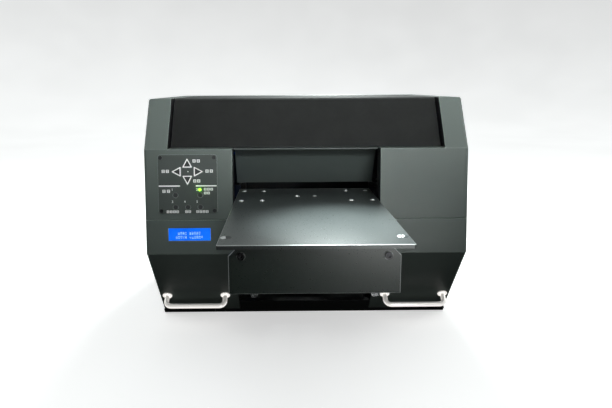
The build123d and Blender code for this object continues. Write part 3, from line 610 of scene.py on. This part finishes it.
def plate_rings():
    """Thin steel washers under the two cap screws of the front plate."""
    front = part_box("front_plate")[0].y
    steps, screw_x, screw_z = 32, 85 * MM, 206 * MM
    outer_radius, inner_radius, thickness = 5.3 * MM, 4.6 * MM, 0.5 * MM
    turns = [2 * pi * k / steps for k in range(steps)]
    outer = [Vector((cos(a), sin(a))) * outer_radius for a in turns]
    inner = [Vector((cos(a), sin(a))) * inner_radius for a in turns]
    for side, label in ((-1, "left"), (1, "right")):
        matrix = Matrix.Translation((side * screw_x, front, screw_z)) @ Matrix.Rotation(pi / 2, 4, "X")
        name = f"plate_washer_{label}"
        piece(name, ring_mesh(name, outer, inner, matrix, thickness), "bed", "ring_steel")


plate_rings()
arrow_marks()
panel_marks()
legend_marks()
button_numbers()


# ---------------------------------------------------------------- floor, light and camera
def backdrop():
    """Pale seamless floor that sweeps up into a wall all round.

    It takes shadows, and leaves the light on the printer to the lamps and the sky.
    """
    flat, bend, top = 4.0, 2.5, 6.0
    sides, arcs = 64, 12
    profile = [(1.0, 0.0), (flat, 0.0)]
    for step in range(1, arcs + 1):
        angle = pi / 2 * step / arcs
        profile.append((flat + bend * sin(angle), bend * (1 - cos(angle))))
    profile.append((flat + bend, top))
    bm = bmesh.new()
    centre = bm.verts.new((0, 0, cad_box[0].z))
    rings = []
    turns = [2 * pi * k / sides for k in range(sides)]
    for radius, rise in profile:
        z = cad_box[0].z + rise
        rings.append([bm.verts.new((radius * cos(a), radius * sin(a), z)) for a in turns])
    for k in range(sides):
        bm.faces.new((centre, rings[0][k], rings[0][(k + 1) % sides]))
    for low, high in zip(rings, rings[1:]):
        for k in range(sides):
            j = (k + 1) % sides
            bm.faces.new((low[k], high[k], high[j], low[j]))
    mesh = bpy.data.meshes.new("backdrop")
    bm.to_mesh(mesh)
    bm.free()
    for polygon in mesh.polygons:
        polygon.use_smooth = True
    sweep = bpy.data.objects.new("backdrop", mesh)
    bpy.context.scene.collection.objects.link(sweep)
    s = Shader("backdrop_pale", 0.9, specular=0.05)
    pale = s.ramp(s.noise(2, 2), ((0.3, (0.86, 0.86, 0.86)), (0.7, (0.9, 0.9, 0.9))))
    s.colour(pale)
    s.link(pale, s.bsdf.inputs["Emission Color"])
    s.bsdf.inputs["Emission Strength"].default_value = 0.62
    mesh.materials.append(s.material)
    sweep.visible_diffuse = sweep.visible_glossy = sweep.visible_shadow = False
    return sweep


def hang(name, data, place, aim):
    """Put a lamp in the scene at place, pointing at aim and hidden from the camera."""
    lamp = bpy.data.objects.new(name, data)
    lamp.location = place
    lamp.rotation_euler = (Vector(aim) - Vector(place)).to_track_quat("-Z", "Y").to_euler()
    lamp.visible_camera = False
    bpy.context.scene.collection.objects.link(lamp)
    return lamp


def area_light(name, place, aim, size, energy, tint, spread=pi):
    """Rectangular lamp whose light is kept within spread radians."""
    data = bpy.data.lights.new(name, "AREA")
    data.spread = spread
    data.shape = "RECTANGLE"
    data.size, data.size_y = size
    data.energy = energy
    data.color = tint
    hang(name, data, place, aim)


def bed_spot(place, aim, floor):
    """Soft pool of light on the bed, which leaves the floor alone."""
    data = bpy.data.lights.new("bed_spot", "SPOT")
    data.energy = 500
    data.color = (0.93, 1.0, 0.99)
    data.spot_size = 0.23
    data.spot_blend = 1.0
    data.shadow_soft_size = 20 * MM
    lamp = hang("bed_spot", data, place, aim)
    spared = bpy.data.collections.new("not_lit_by_bed_spot")
    spared.objects.link(floor)
    spared.collection_objects[0].light_linking.link_state = "EXCLUDE"
    lamp.light_linking.receiver_collection = spared


def studio(floor):
    """A sky that is bright overhead and dark below and in front, soft lamps all round, and the bed's spot."""
    world = bpy.data.worlds.new("studio")
    bpy.context.scene.world = world
    world.use_nodes = True
    tree = world.node_tree
    direction = tree.nodes.new("ShaderNodeTexCoord").outputs["Generated"]
    split = tree.nodes.new("ShaderNodeSeparateXYZ")
    tree.links.new(direction, split.inputs["Vector"])
    level = split.outputs["Z"]
    for axis, share in (("Y", 0.25), ("X", 0.28)):
        slope = tree.nodes.new("ShaderNodeMath")
        slope.operation = "MULTIPLY_ADD"
        tree.links.new(split.outputs[axis], slope.inputs[0])
        slope.inputs[1].default_value = share
        tree.links.new(level, slope.inputs[2])
        level = slope.outputs[0]
    span = tree.nodes.new("ShaderNodeMapRange")
    span.inputs["From Min"].default_value = -1.0
    tree.links.new(level, span.inputs["Value"])
    sky = tree.nodes.new("ShaderNodeValToRGB")
    stops = ((0.0, 0.004), (0.42, 0.012), (0.55, 0.07), (0.75, 0.38), (1.0, 0.72))
    while len(sky.color_ramp.elements) < len(stops):
        sky.color_ramp.elements.new(0.5)
    for element, (position, value) in zip(sky.color_ramp.elements, stops):
        element.position = position
        element.color = (value * 0.95, value, value * 0.99, 1)
    tree.links.new(span.outputs["Result"], sky.inputs["Fac"])
    tree.links.new(sky.outputs["Color"], tree.nodes["Background"].inputs["Color"])
    tree.nodes["Background"].inputs["Strength"].default_value = 1.0
    area_light("behind", (0.17, 1.4, 1.4), (0.05, -0.3, 0.227), (0.2, 1.1), 24, (0.92, 1.0, 0.98))
    area_light("front_top", (0.45, -1.1, 0.85), (0.27, -0.1, 0.54), (1.2, 0.2), 2.9, (0.97, 1.0, 0.99), 0.7)
    area_light("low_front", (0.3, -1.2, 0.12), (0.06, -0.3, 0.22), (0.3, 0.2), 0.11, (0.97, 1.0, 0.98), 0.6)
    area_light("mouth_fill", (-0.35, -1.3, 0.55), (0.07, -0.05, 0.27), (0.2, 0.2), 0.005, (0.97, 1.0, 0.98),
               0.35)
    area_light("side_left", (-1.6, 0.1, 0.9), (0, 0.1, 0.2), (0.8, 0.8), 4, (0.97, 1.0, 0.99))
    area_light("side_right", (1.6, 0.1, 0.9), (0, 0.1, 0.2), (0.8, 0.8), 5, (0.97, 1.0, 0.99))
    bed_spot((0.09, -0.45, 1.4), (0.045, -0.265, 0.227), floor)


def lamp_glow():
    """Soft green light that the status lamp throws on the plate around it."""
    low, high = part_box("status_led")
    middle, stand_off = (low + high) / 2, 5 * MM
    data = bpy.data.lights.new("lamp_glow", "POINT")
    data.energy = 0.002
    data.color = (0.3, 1.0, 0.06)
    data.shadow_soft_size = 1.0 * MM
    hang("lamp_glow", data, middle + PANEL_OUT * stand_off, middle)


def camera():
    """Camera a little above the bed and left of the middle, level apart from a slight roll."""
    yaw, pitch, roll = radians(0.304), radians(10.29), radians(-0.349)
    data = bpy.data.cameras.new("camera")
    data.sensor_width = 36.0
    data.lens = 31.81
    data.shift_x, data.shift_y = 0.032, -0.0308
    forward = Vector((sin(yaw) * cos(pitch), cos(yaw) * cos(pitch), -sin(pitch)))
    right = Vector((cos(yaw), -sin(yaw), 0))
    up = right.cross(forward)
    side = right * cos(roll) + up * sin(roll)
    top = up * cos(roll) - right * sin(roll)
    view = bpy.data.objects.new("camera", data)
    view.matrix_world = Matrix.Translation((-0.0354, -0.9203, 0.3972)) @ Matrix(
        (side, top, -forward)).transposed().to_4x4()
    bpy.context.scene.collection.objects.link(view)
    bpy.context.scene.camera = view


studio(backdrop())
lamp_glow()
camera()
bpy.context.scene.view_settings.view_transform = "Standard"
